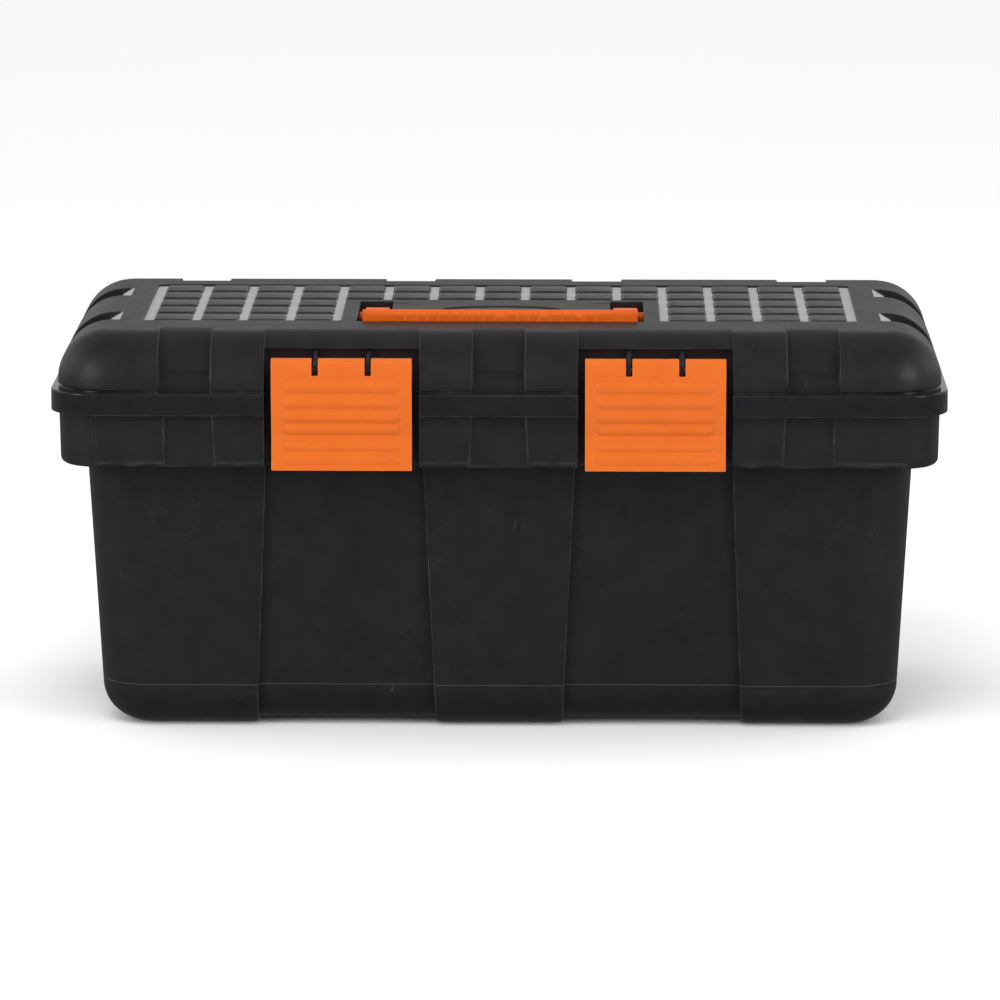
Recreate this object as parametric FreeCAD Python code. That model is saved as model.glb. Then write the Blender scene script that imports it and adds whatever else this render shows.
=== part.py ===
"""Moulded plastic toolbox with a lift-out tray, a hinged lid, two snap latches and a folding carrying handle.

Units are millimetres. +X is the toolbox's right, +Y its back, +Z up. The origin is at the centre of the
overall length and depth, at the level that the feet stand on. The lid is shut, the latches are down,
the handle is folded and the tray is in place.
"""

import FreeCAD
import Part
import math
import os

V = FreeCAD.Vector

# ---------------------------------------------------------------- driving dimensions
length = 500.0                 # overall, across the lid's flange
depth = 250.0                  # overall, from the latches' ribs to the hinge knuckles
tub_height = 193.2             # feet to the tub's rim
lid_height = 34.4              # rim to the lid's flat top
wall = 2.6                     # moulding wall of the tub and lid
seat_gap = 0.3                 # between faces of two bodies that rest on each other
fit_gap = 0.6                  # between mouldings that slide past each other
root = 1.0                     # added pieces are sunk this far into the wall that carries them
past = 5.0                     # cutting shapes reach this far past what they cut

# tub
end_setback = 18.0             # lid flange's face to the pillar's face at the skirt, short sides
side_setback = 21.8            # and long sides
draft = 0.052                  # inward lean of the tub walls, per unit of height
pillar_proud = 3.5             # pillars stand this far out from the recessed panels
runner_height = 1.9            # pillars' feet below the panels' underside
body_corner = 28.0             # plan radius of the tub's corners
bottom_radius = 23.2           # round along the tub's bottom edge
skirt_height = 39.8            # tub's rim down to the underside of its outward step
skirt_in = 4.2                 # lid flange's face to the skirt's face
skirt_corner = 22.0
skirt_round = 4.0              # round under the skirt
skirt_draft = 0.02
band_depth = 2.0               # recessed bands in the skirt
band_slant = 2.0               # the middle band is this much wider each side at its foot
skirt_band_outer = 186.0       # outer edge of the outer bands, in X from the middle
outer_band_slant = 2.6         # inner edge of the outer bands, towards the middle at its foot
pillar_lean = 7.2              # middle pillar's edges come in this far on the way down
corner_lean = 6.5              # corner pillars' edges, towards the corners
side_panel_top = 34.0          # recessed panel of the short sides, half width at the skirt
side_panel_foot = 40.0
zone_setback = 19.0            # lid flange's face to the wall behind the latches and hinges

# lid
flange_lap = 9.6               # the flange hangs this far below the rim
flange_height = 12.5
flange_wall = 2.6
flange_corner = 26.0
flange_round = 1.0
dome_in = 3.3                  # lid flange's face to the dome's face
dome_corner = 31.0
dome_radius = 28.0             # round along the lid's top edges
skin_extra = 0.4               # the lid's skin is this much thicker than the tub's wall
side_extra = 1.5               # and thicker still on the short sides, behind the grooves
shadow_height = 1.4            # narrow groove between the flange and the dome
shadow_depth = 1.2
recess_in = 4.0                # recessed bands in the dome
band_reach = 60.0              # bands are looked for this far in from the dome's face
zone_in = 2.0                  # dome above the latches, set back
rib_height = 7.0               # stiffening ribs under the lid's top
rib_wall = 1.8
cross_ribs_x = (108.5, 161.5)
long_ribs_y = (-62.0, 40.0)

# bands along the long sides, in X from the middle
band_half = 14.5               # middle recess
band_inner = 160.0             # outer recess
band_outer = 189.0

# grooves of the dome's short sides
groove_centre = 44.0
groove_half = 14.0
groove_ramp = 7.0              # length of the run-in on the flat top
groove_start = 4.5             # run-in starts this far inside the round
groove_depth = 4.0

# raised grid on the lid
block_pitch = 26.4
block_size = 19.8
block_chamfer = 0.9
grid_sink = 1.6                # depth of the grid's floor
grid_round = 2.5               # plan radius of the floor's corners
grid_end_margin = 17.5         # flat top left beyond the grid at the short sides
grid_front_margin = 32.2       # and in front of it
grid_back_margin = 20.2        # and behind it
grid_border = 6.5              # floor outside the last columns
grid_to_pocket = 8.7           # the grid stops this far from the handle's pocket
grid_behind_pocket = 6.0       # least space between the pocket and the rows behind it

# handle
handle_width = 154.8
pocket_length = 72.4           # handle pocket, front to back
pocket_setback = 29.8          # front edge of the lid's flat top to the pocket
pocket_depth = 22.0
island_length = 44.0           # the level island between the arms
grip_front_gap = 3.2           # pocket's front wall to the grip
grip_proud = 6.0               # top of the grip above the lid
# the grip's section: distance behind its face, height from its top
grip_line = ((0.0, -3.0), (1.2, 0.0), (4.5, -0.8), (10.0, -4.5), (10.0, -21.5), (7.0, -24.5), (5.0, -24.5),
             (2.4, -21.5))
arm_width = 13.5
arm_side_gap = 3.6             # arm to the pocket's side
arm_island_gap = 1.9           # arm to the island
arm_height = 11.0
arm_setback = 3.0              # arm's underside starts this far behind the grip's face
handle_axis_in = 13.0          # pocket's back wall to the handle's axis
handle_axis_below = 7.2        # lid's top to the handle's axis
stub_radius = 3.0
flute_count = 18
flute_pitch = 6.3
flute_depth = 0.55
flute_radius = 1.1
oval = (34.0, 11.5)            # half sizes of the plain oval sunk in the island
oval_pad = (25.0, 7.0)         # level pad left inside it
oval_from_front = 15.5
oval_sink = 0.7
tab_slot = (9.0, 1.6, 2.2)     # small slots at the island's ends: length, width, depth
tab_slot_from_back = 8.0

# latches
latch_x = 87.0                 # each latch's middle, in X
latch_width = 78.0
latch_wall = 2.8
latch_proud = 1.5              # latches and hinge knuckles stand this far proud of the lid's flange
latch_side_gap = 4.0           # latch to the sides of its opening
# the front of the latch's plate: distance behind its face, drop below its top
latch_line = ((2.6, 0.0), (1.0, 2.2), (0.4, 8.0), (0.3, 21.8), (1.0, 31.6), (3.2, 43.6), (0.0, 62.6))
latch_above_pin = 7.1
latch_face_to_pin = 7.5
pin_above_flange = 12.7        # flange's top to the latch pin
latch_pin_radius = 1.5
knuckle_wall = 2.6
notch_width = 3.6
notch_offset = 14.7
notch_depth = 9.5
notch_deep = 12.5              # behind the plate the notch goes on down, clear of the lug
lug_wall = 2.2                 # lid's lugs that carry the latch pin, inside the notches
lug_gap = 1.1                  # lug to the latch's plate
lug_trim = 0.6                 # lugs are this much slimmer than the knuckles, above and below
lug_foot = 2.0                 # foot of the lugs above the lid's seat
opening_above_latch = 3.6
finger_rib_length = 66.0
finger_rib_height = 6.6
finger_rib_proud = 1.1
finger_rib_drops = (15.7, 24.4, 32.7, 39.6, 48.7, 56.3)    # below the latch's top
catch_width = 60.0
catch_height = 7.0
catch_nose = 1.0               # chamfer at the ridge's tip
catch_ramp = 4.0               # slope above it, on the wall
catch_reach = 1.8              # tip of the catch ridge, behind the latch pin
catch_below_pin = 40.5
bead_extra = 4.0               # the latch's bead is longer than the ridge by this, each end
# the bead's section: distance behind the latch's face, or in front of the bead's tip, and height from the
# ridge's underside
bead_above = ((3.0, 2.0), (5.0, 1.0))
bead_tip = ((0.8, -0.4), (0.0, -1.2), (0.0, -2.6), (1.6, -4.4))
bead_below = (2.5, -7.0)

# lid hinges
hinge_centre = 114.5           # each hinge's middle, in X
hinge_length = 91.0
hinge_below_flange = 5.3       # flange's underside to the hinge's axis
hinge_pin_radius = 2.0
hinge_knuckle_radius = 5.0
hinge_head = 8.0               # recess above the hinge's axis
hinge_arm_gap = 0.4            # inner face of the lid's hinge arms, in front of the axis
hinge_arm_root = 6.0           # the arms run this far up inside the flange
hinge_web = 18.0               # the tub's brackets start this far below the axis
hinge_knuckles = 5             # alternate lid, tub, lid, tub, lid
pin_short = 0.5                # each pin ends this far inside its outer knuckles
running_gap = 0.05             # radial clearance of every pin

# tray
tray_wall = 2.0
tray_depth = 44.3              # underside of the tray below its flange
tray_draft = 0.08
tray_corner = 14.0
tray_flange_corner = 16.0
tray_round = 6.0
tray_end_gap = 5.2             # tray wall to the tub's wall at the ledge, short sides
tray_side_gap = 3.2            # and long sides
tray_flange = 2.2
tray_flange_end_gap = 3.4      # tray flange to the skirt's inside, short sides
tray_flange_side_gap = 1.2     # tray flange to the wall behind the latches
spine_wall = 2.2
spine_height = 34.7            # top of the grip above the tray's flange
spine_half = 62.0
spine_foot = 26.0              # spine's slope, in X
spine_grip_radius = 6.0
spine_post = 8.0               # posts each side of the hand hole
hand_hole_round = 8.0
spine_grip_in = 2.0            # ends of the grip's straight part, inside the spine's edges
divider_x = 108.0              # dividers stand at this distance each side of the middle
divider_wall = 1.8
divider_gap = 0.25
divider_below_top = 3.0
divider_end_gap = 0.45         # divider to the tray's wall
divider_chamfer = 5.0
guide_wall = 1.5
guide_reach = 3.0
guide_below_top = 4.0

# ---------------------------------------------------------------- places worked out from them
half_x = length / 2
flange_y = depth / 2 - latch_proud      # lid flange's face
rim_top = tub_height
lid_top = tub_height + lid_height
skirt_bottom = rim_top - skirt_height
flange_bottom = rim_top - flange_lap
flange_top = flange_bottom + flange_height
body_x, body_y = half_x - end_setback, flange_y - side_setback
skirt_x, skirt_y = half_x - skirt_in, flange_y - skirt_in
dome_x, dome_y = half_x - dome_in, flange_y - dome_in
flat_x, flat_y = dome_x - dome_radius, dome_y - dome_radius
zone_y = flange_y - zone_setback        # wall behind the latches and hinges
ledge = skirt_bottom + wall             # inside floor of the skirt, where the tray rests
seat = rim_top + seat_gap               # underside of the lid where it sits on the rim

zone_inner = latch_x - latch_width / 2 - latch_side_gap
zone_outer = latch_x + latch_width / 2 + latch_side_gap
pillar_half_top = zone_inner - wall / 2
pillar_half_foot = pillar_half_top - pillar_lean
corner_edge_top = zone_outer
corner_edge_foot = zone_outer + corner_lean

latch_face = depth / 2 - finger_rib_proud + min(back for back, drop in latch_line[1:-1])
pin_y = latch_face_to_pin - latch_face
pin_z = flange_top + pin_above_flange
latch_top = pin_z + latch_above_pin
latch_bottom = latch_top - latch_line[-1][1]
knuckle_radius = latch_pin_radius + running_gap + knuckle_wall
opening_top = latch_top + opening_above_latch
catch_z = pin_z - catch_below_pin       # underside of the tub's catch ridge
catch_tip = pin_y + catch_reach

hinge_y = depth / 2 - hinge_knuckle_radius
hinge_z = flange_bottom - hinge_below_flange

grip_half = handle_width / 2
pocket_half = grip_half + arm_side_gap
island_half = grip_half - arm_width - arm_island_gap
pocket_front = pocket_setback - flat_y
pocket_back = pocket_front + pocket_length
pocket_floor = lid_top - pocket_depth
island_front = pocket_back - island_length
oval_y = island_front + oval_from_front
tab_slot_y = pocket_back - tab_slot_from_back
handle_axis_y = pocket_back - handle_axis_in
handle_axis_z = lid_top - handle_axis_below

grid_back = flat_y - grid_back_margin
grid_rows = int((2 * flat_y - grid_front_margin - grid_back_margin + 0.01) / block_pitch)
grid_rows_behind = max(0, int((grid_back - pocket_back - grid_behind_pocket) / block_pitch))
grid_columns_side = int((flat_x - grid_end_margin - grid_border - block_size / 2 + 0.01) / block_pitch)
grid_front = grid_back - grid_rows * block_pitch
grid_inner = pocket_half + grid_to_pocket

tray_top = ledge + seat_gap
tray_floor = tray_top - tray_depth
tray_hx = body_x - pillar_proud - wall - tray_end_gap
tray_hy = body_y - pillar_proud - wall - tray_side_gap
spine_top = tray_top + spine_height


# ---------------------------------------------------------------- helpers
def block(x0, x1, y0, y1, z0, z1):
    """Box between two corners."""
    return Part.makeBox(x1 - x0, y1 - y0, z1 - z0, V(x0, y0, z0))


def round_rect(hx, hy, r, z):
    """Closed wire: a rectangle with rounded corners, centred on the Z axis."""
    a, b, d = hx - r, hy - r, r * math.sqrt(0.5)
    p = [V(-a, -hy, z), V(a, -hy, z), V(a + d, -b - d, z), V(hx, -b, z), V(hx, b, z), V(a + d, b + d, z),
         V(a, hy, z), V(-a, hy, z), V(-a - d, b + d, z), V(-hx, b, z), V(-hx, -b, z), V(-a - d, -b - d, z)]
    edges = []
    for k in range(4):
        start, end, middle, after = (p[(3 * k + i) % 12] for i in range(4))
        edges.append(Part.LineSegment(start, end).toShape())
        edges.append(Part.Arc(end, middle, after).toShape())
    return Part.Wire(edges)


def slab(hx, hy, r, z0, z1):
    """Upright prism on a rounded rectangle."""
    return Part.Face(round_rect(hx, hy, r, z0)).extrude(V(0, 0, z1 - z0))


def tapered(hx, hy, r, z0, z1, slope):
    """Prism on a rounded rectangle of half size hx, hy at z1, whose walls come in by slope going down."""
    inward = slope * (z1 - z0)
    low = round_rect(hx - inward, hy - inward, r, z0)
    return Part.makeLoft([low, round_rect(hx, hy, r, z1)], True, True)


def prism(points, direction):
    """Solid from a closed polygon of points, extruded."""
    return Part.Face(Part.makePolygon(points + [points[0]])).extrude(direction)


def profile_x(points, x0, x1):
    """Polygon given as (y, z) pairs, extruded from x0 to x1."""
    return prism([V(x0, y, z) for y, z in points], V(x1 - x0, 0, 0))


def rod_x(radius, x0, x1, y, z):
    """Cylinder along X."""
    return Part.makeCylinder(radius, x1 - x0, V(x0, y, z), V(1, 0, 0))


def joined(shapes):
    """Union of several solids."""
    return shapes[0].multiFuse(shapes[1:]) if len(shapes) > 1 else shapes[0]


def edges_at(shape, test):
    """Edges whose middle point passes the test."""
    return [e for e in shape.Edges if test(e.valueAt((e.FirstParameter + e.LastParameter) / 2), e)]


def both_sides(shape):
    """The shape and its mirror image in the YZ plane."""
    return [shape, shape.mirror(V(0, 0, 0), V(1, 0, 0))]


def save(name, shape):
    """Writes one node, cleaned of seams between coplanar faces."""
    clean = shape.removeSplitter()
    clean.exportStep("parts/" + name + ".step")
    print(name, len(clean.Solids), "solid(s)", round(clean.Volume / 1000, 2), "cm3", clean.isValid())


# ---------------------------------------------------------------- tub
def rounded_bottom(hx, hy, r, z0, radius):
    """Tapered body from z0 to the skirt with a round along its bottom edge."""
    shape = tapered(hx, hy, r, z0, skirt_bottom + wall, draft)
    return shape.makeFillet(radius, edges_at(shape, lambda p, e: abs(p.z - z0) < 0.01))


def pillar_gaps(shrink):
    """Prisms that clear the spaces between the pillars, narrower by shrink on each side."""
    z0, z1 = -root, skirt_bottom + wall
    s = shrink
    reach = depth
    front = prism([V(pillar_half_top + s, -reach, z1), V(pillar_half_foot + s, -reach, z0),
                   V(corner_edge_foot - s, -reach, z0), V(corner_edge_top - s, -reach, z1)],
                  V(0, 2 * reach, 0))
    side = prism([V(-length, -side_panel_top + s, z1), V(-length, -side_panel_foot + s, z0),
                  V(-length, side_panel_foot - s, z0), V(-length, side_panel_top - s, z1)],
                 V(2 * length, 0, 0))
    return both_sides(front) + [side]


def panel_core(inset):
    """The tub's body at the level of the recessed panels, inset by a wall."""
    hx, hy = body_x - pillar_proud - inset, body_y - pillar_proud - inset
    z0 = runner_height + inset
    return rounded_bottom(hx, hy, body_corner - pillar_proud - inset, z0, bottom_radius - inset)


def pillars(inset):
    """The pillars and the runners under them, inset by a wall."""
    hull = rounded_bottom(body_x - inset, body_y - inset, body_corner - inset, inset, bottom_radius - inset)
    return hull.cut(joined(pillar_gaps(-inset)))


def zone_blocks(x0, x1, front, back, z0, z1, face):
    """Blocks that fill an opening in the skirt outside the wall plane `face`, on the sides asked for."""
    found = []
    for x_low, x_high in ((x0, x1), (-x1, -x0)):
        if front:
            found.append(block(x_low, x_high, -depth, -face, z0, z1))
        if back:
            found.append(block(x_low, x_high, face, depth, z0, z1))
    return found


def tub_zones(grow):
    """Spaces in the skirt for the latches (front) and the hinges (back), grown by a wall for the inside."""
    z0 = skirt_bottom - past
    low, high = hinge_centre - hinge_length / 2, hinge_centre + hinge_length / 2
    latch = zone_blocks(zone_inner - grow, zone_outer + grow, True, False, z0, rim_top + past, zone_y - grow)
    hinge = zone_blocks(low - fit_gap - grow, high + fit_gap + grow, False, True, z0,
                        hinge_z + hinge_head + grow, zone_y - grow)
    return latch + hinge


def skirt_bands():
    """Shallow bands recessed into the skirt, between its blocks."""
    z0, z1 = skirt_bottom - past, rim_top + past
    face = skirt_y - band_depth
    reach, foot = V(0, depth - face, 0), band_half + band_slant
    middle = prism([V(-band_half, -depth, z1), V(-foot, -depth, z0), V(foot, -depth, z0),
                    V(band_half, -depth, z1)], reach)
    outer = prism([V(band_inner, -depth, z1), V(band_inner - outer_band_slant, -depth, z0),
                   V(skirt_band_outer, -depth, z0), V(skirt_band_outer, -depth, z1)], reach)
    cuts = [middle, middle.mirror(V(0, 0, 0), V(0, 1, 0))] + both_sides(outer)
    for y in (-groove_centre, groove_centre):
        cuts += both_sides(block(skirt_x - band_depth, length, y - groove_half, y + groove_half, z0, z1))
    return cuts


def make_tub():
    """Tub: walls, pillars, outward skirt, ledge for the tray, catch ridges and hinge brackets."""
    skirt = tapered(skirt_x, skirt_y, skirt_corner, skirt_bottom, rim_top, skirt_draft)
    skirt = skirt.makeFillet(skirt_round, edges_at(skirt, lambda p, e: abs(p.z - skirt_bottom) < 0.01))
    skirt = skirt.cut(joined(skirt_bands())).cut(joined(tub_zones(0)))
    outside = joined([panel_core(0), pillars(0), skirt])

    bay = tapered(skirt_x - wall - band_depth, skirt_y - wall - band_depth, skirt_corner - wall,
                  ledge, rim_top + root, skirt_draft)
    bay = bay.cut(joined(tub_zones(wall)))
    tub = outside.cut(bay).cut(joined([panel_core(wall), pillars(wall)]))

    parts = [tub]
    for side in (-1, 1):
        x = side * latch_x
        parts.append(catch_ridge(x - catch_width / 2, x + catch_width / 2))
        parts += hinge_brackets(side * hinge_centre)
    tub = joined(parts)
    return tub.cut(joined(hinge_bores()))


def catch_ridge(x0, x1):
    """Sloped ridge on the tub's latch wall that the latch's lip snaps over."""
    face, z, top = -zone_y, catch_z, catch_z + catch_height + catch_ramp
    return profile_x([(face + root, z), (catch_tip + catch_nose, z), (catch_tip, z + catch_nose),
                      (catch_tip, z + catch_height / 2), (face, top), (face + root, top)], x0, x1)


def knuckle_spans(centre, owner):
    """X spans of one hinge's knuckles: owner 0 is the lid's, 1 the tub's."""
    step = hinge_length / hinge_knuckles
    start = centre - hinge_length / 2
    inset = fit_gap / 2
    return [(start + k * step + inset, start + (k + 1) * step - inset)
            for k in range(hinge_knuckles) if k % 2 == owner]


def hinge_bores():
    """Bores through the knuckles of both hinges."""
    half = hinge_length / 2
    return both_sides(rod_x(hinge_pin_radius + running_gap, hinge_centre - half, hinge_centre + half,
                            hinge_y, hinge_z))


def hinge_brackets(centre):
    """The tub's hinge knuckles with the brackets that carry them."""
    r, y, z = hinge_knuckle_radius, hinge_y, hinge_z
    d = r * math.sqrt(0.5)
    found = []
    for x0, x1 in knuckle_spans(centre, 1):
        web = profile_x([(zone_y - root, z - hinge_web), (zone_y, z - hinge_web), (y + d, z - d), (y, z),
                         (y - d, z + d), (zone_y, z + d), (zone_y - root, z + d)], x0, x1)
        found += [web, rod_x(r, x0, x1, y, z)]
    return found


# ---------------------------------------------------------------- lid
def dome(hx, hy, corner, radius, top, bottom):
    """Solid with rounded plan corners and a round along its top edges."""
    shape = slab(hx, hy, corner, bottom, top)
    return shape.makeFillet(radius, edges_at(shape, lambda p, e: abs(p.z - top) < 0.01))


def side_groove_cutters():
    """Grooves that run from the flat top down over the short sides."""
    x0 = dome_x - dome_radius - groove_start
    x1 = x0 + groove_ramp
    bottom = lid_top - groove_depth
    r = dome_radius - groove_depth
    cx, cz = dome_x - dome_radius, lid_top - dome_radius
    a0 = math.acos(min(1.0, (x1 - cx) / r))
    z_start = cz + r * math.sin(a0)
    a1 = a0 / 2
    y0 = groove_centre - groove_half
    wire = Part.Wire([
        Part.LineSegment(V(x0, y0, lid_top), V(x1, y0, z_start)).toShape(),
        Part.Arc(V(x1, y0, z_start), V(cx + r * math.cos(a1), y0, cz + r * math.sin(a1)),
                 V(cx + r, y0, cz)).toShape(),
        Part.LineSegment(V(cx + r, y0, cz), V(cx + r, y0, flange_top)).toShape(),
        Part.LineSegment(V(cx + r, y0, flange_top), V(length, y0, flange_top)).toShape(),
        Part.LineSegment(V(length, y0, flange_top), V(length, y0, lid_top + past)).toShape(),
        Part.LineSegment(V(length, y0, lid_top + past), V(x0, y0, lid_top + past)).toShape(),
        Part.LineSegment(V(x0, y0, lid_top + past), V(x0, y0, lid_top)).toShape()])
    tool = Part.Face(wire).extrude(V(0, 2 * groove_half, 0))
    found = []
    for s in both_sides(tool):
        found += [s, s.mirror(V(0, 0, 0), V(0, 1, 0))]
    return found


def band_cutters():
    """Recessed bands over the dome's front and back edges."""
    beyond, bottom = length / 2 + past, flange_bottom - dome_radius
    radius = dome_radius + recess_in
    inner = dome(beyond, dome_y - recess_in, radius + root, radius, lid_top, bottom)
    radius = dome_radius + zone_in
    zone = dome(beyond, dome_y - zone_in, radius + root, radius, lid_top, bottom)
    z0, z1, width, y0 = flange_top, lid_top + past, band_outer - band_inner, band_reach - dome_y
    low, high = hinge_centre - hinge_length / 2, hinge_centre + hinge_length / 2
    middle = block(-band_half, band_half, -depth, y0, z0, z1)
    outer = both_sides(block(band_inner, band_outer, -depth, y0, z0, z1))
    back = both_sides(block(high, high + width, -y0, depth, z0, z1))
    back += both_sides(block(low - width, low, -y0, depth, z0, z1))
    recess = joined([middle] + outer + back).cut(inner)
    zones = joined(both_sides(block(zone_inner, zone_outer, -depth, y0, z0, z1))).cut(zone)
    return [recess, zones]


def latch_pockets():
    """Openings in the lid's front for the latches."""
    return both_sides(block(zone_inner, zone_outer, -depth, -zone_y, flange_bottom - past, opening_top))


def grid_cutter():
    """The sunk floor of the grid, with its blocks left standing."""
    z0, z1 = lid_top - grid_sink, lid_top + root
    half = block_size / 2
    hx = grid_columns_side * block_pitch + half + grid_border
    beside = grid_back - grid_rows_behind * block_pitch - (block_pitch - block_size) / 2
    field = block(-hx, hx, grid_front, grid_back, z0, z1)
    field = field.cut(block(-grid_inner, grid_inner, grid_front - past, beside, z0 - past, z1 + past))
    upright = [e for e in field.Edges if abs(e.Vertexes[0].Z - e.Vertexes[-1].Z) > root]
    field = field.makeFillet(grid_round, upright)
    studs = []
    for row in range(grid_rows):
        y = grid_front + (row + 0.5) * block_pitch
        for column in range(-grid_columns_side, grid_columns_side + 1):
            x = column * block_pitch
            if row >= grid_rows - grid_rows_behind or abs(x) > grid_inner + half:
                studs.append(stud(x, y, half, z0))
    return field.cut(Part.makeCompound(studs))


def stud(x, y, half, z0):
    """One block of the grid: a square frustum, wider at its foot, that reaches past the lid's top."""
    overshoot = 0.4
    foot = half + block_chamfer
    head = half - block_chamfer * overshoot / grid_sink
    return Part.makeLoft([square(x, y, foot, z0), square(x, y, head, lid_top + overshoot)], True, True)


def square(x, y, half, z):
    """Square wire centred on x, y."""
    turns = ((-half, -half), (half, -half), (half, half), (-half, half), (-half, -half))
    return Part.makePolygon([V(x + dx, y + dy, z) for dx, dy in turns])


def handle_trench(grow, z0, z1):
    """The handle's U-shaped pocket, grown by a wall for the moulding round it."""
    outer = pocket_half + grow
    shapes = [block(-outer, outer, pocket_front - grow, island_front + grow, z0, z1)]
    shapes += both_sides(block(island_half - grow, outer, island_front - root, pocket_back + grow, z0, z1))
    return joined(shapes)


def island_marks():
    """The plain oval and the two small slots on the island behind the grip."""
    z0 = lid_top - oval_sink

    def disc(half_sizes):
        ring = Part.Ellipse(V(0, oval_y, z0), *half_sizes).toShape()
        return Part.Face(Part.Wire([ring])).extrude(V(0, 0, oval_sink + past))

    slot_length, slot_width, slot_depth = tab_slot
    slot = block(island_half - slot_length, island_half + root, tab_slot_y, tab_slot_y + slot_width,
                 lid_top - slot_depth, lid_top + past)
    return [disc(oval).cut(disc(oval_pad))] + both_sides(slot)


def latch_lugs():
    """The two lugs in each latch opening that carry the latch pin, between the knuckles."""
    front = latch_wall + lug_gap - latch_face
    half = knuckle_radius - lug_trim
    foot = seat + lug_foot
    outline = [(root - zone_y, opening_top), (-zone_y, opening_top), (front, pin_z + half),
               (front, pin_z - half), (-zone_y, foot), (root - zone_y, foot)]
    found = []
    for side in (-1, 1):
        for offset in (-notch_offset, notch_offset):
            x = side * latch_x + offset
            found.append(profile_x(outline, x - lug_wall / 2, x + lug_wall / 2))
    return found


def lid_knuckles():
    """The lid's hinge knuckles and the arms that hang them from the flange."""
    found, arm_top = [], flange_bottom + hinge_arm_root
    for side in (-1, 1):
        for x0, x1 in knuckle_spans(side * hinge_centre, 0):
            found.append(block(x0, x1, hinge_y - hinge_arm_gap, flange_y, hinge_z, arm_top))
            found.append(rod_x(hinge_knuckle_radius, x0, x1, hinge_y, hinge_z))
    return found


def lid_ribs():
    """Stiffening ribs under the lid's top."""
    z1, half = lid_top - wall, rib_wall / 2
    z0 = z1 - rib_height
    found = []
    for x in cross_ribs_x:
        found += both_sides(block(x - half, x + half, -flat_y, flat_y, z0, z1))
    for y in long_ribs_y:
        found += both_sides(block(pocket_half, flat_x - groove_start, y - half, y + half, z0, z1))
    y = long_ribs_y[-1]
    return found + [block(-pocket_half - root, pocket_half + root, y - half, y + half, z0, z1)]


def shadow_groove():
    """Narrow ring cut between the flange's top and the dome."""
    z0, z1 = flange_top - root, flange_top + shadow_height
    inner = slab(dome_x - shadow_depth, dome_y - shadow_depth, dome_corner - shadow_depth, z0, z1)
    return slab(half_x, flange_y, flange_corner, z0, z1).cut(inner)


def make_lid():
    """Lid: dome, flange, latch openings, grid, handle pocket and hinge knuckles."""
    shell = dome(dome_x, dome_y, dome_corner, dome_radius, lid_top, seat)
    flange = slab(half_x, flange_y, flange_corner, flange_bottom, flange_top)
    flange = flange.makeFillet(flange_round, edges_at(flange, lambda p, e: abs(p.z - flange_top) < 0.01))
    outside = shell.cut(shadow_groove()).fuse(flange)
    outside = outside.cut(joined(side_groove_cutters() + band_cutters() + latch_pockets()))

    skin = wall + skin_extra
    radius = dome_radius + recess_in - skin
    cavity = dome(dome_x - skin - recess_in - side_extra, dome_y - skin - recess_in, radius + root, radius,
                  lid_top - skin, flange_bottom - past)
    cavity = cavity.cut(joined(both_sides(block(zone_inner - skin, zone_outer + skin, -depth, -zone_y + skin,
                                                seat, opening_top + skin))))
    under = slab(half_x - flange_wall, flange_y - flange_wall, flange_corner - flange_wall,
                 flange_bottom - past, seat)
    lid = outside.cut(cavity).cut(under)

    add = [lid, handle_trench(wall, pocket_floor - wall, lid_top - skin + root)]
    add += lid_knuckles() + latch_lugs() + lid_ribs()
    lid = joined(add)
    lid = lid.cut(handle_trench(0, pocket_floor, lid_top + past))
    return lid.cut(joined([grid_cutter()] + island_marks() + lid_bores()))


def lid_bores():
    """Bores for the hinge pins, the latch pins and the handle's stubs."""
    half = latch_width / 2
    bores = hinge_bores()
    bores += both_sides(rod_x(latch_pin_radius + running_gap, latch_x - half, latch_x + half, pin_y, pin_z))
    return bores + both_sides(rod_x(stub_radius + running_gap, pocket_half - root, pocket_half + wall + root,
                                    handle_axis_y, handle_axis_z))


# ---------------------------------------------------------------- latches, handle, pins
def latch_profile():
    """Front of the latch's plate from its top to its foot, as (y, z) pairs."""
    return [(back - latch_face, latch_top - drop) for back, drop in latch_line]


def make_latch(centre):
    """Snap latch: three knuckles on the pin, a ribbed plate, a finger lip at its foot and a bead behind."""
    x0, x1 = centre - latch_width / 2, centre + latch_width / 2
    face, front = -latch_face, latch_profile()
    plate = profile_x(front + [(y + latch_wall, z) for y, z in reversed(front)], x0, x1)
    knuckle = rod_x(knuckle_radius, x0, x1, pin_y, pin_z)
    bridge = block(x0, x1, face + latch_wall / 2, pin_y, pin_z - knuckle_radius, pin_z + knuckle_radius)
    tip = catch_tip - seat_gap
    section = [(face + back, catch_z + up) for back, up in bead_above]
    section += [(tip - ahead, catch_z + up) for ahead, up in bead_tip]
    section.append((face + bead_below[0], catch_z + bead_below[1]))
    bead = profile_x(section, centre - catch_width / 2 - bead_extra, centre + catch_width / 2 + bead_extra)
    ribs = [finger_rib(centre, latch_top - drop) for drop in finger_rib_drops]
    latch = joined([plate, knuckle, bridge, bead] + ribs)
    slots, behind = [], face + latch_line[3][0] + latch_wall
    for offset in (-notch_offset, notch_offset):
        low, high = centre + offset - notch_width / 2, centre + offset + notch_width / 2
        slots.append(block(low, high, -depth, 0, latch_top - notch_depth, latch_top + past))
        slots.append(block(low, high, behind, 0, latch_top - notch_deep, latch_top + past))
    bore = rod_x(latch_pin_radius + running_gap, x0 - root, x1 + root, pin_y, pin_z)
    return latch.cut(joined(slots + [bore]))


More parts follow.
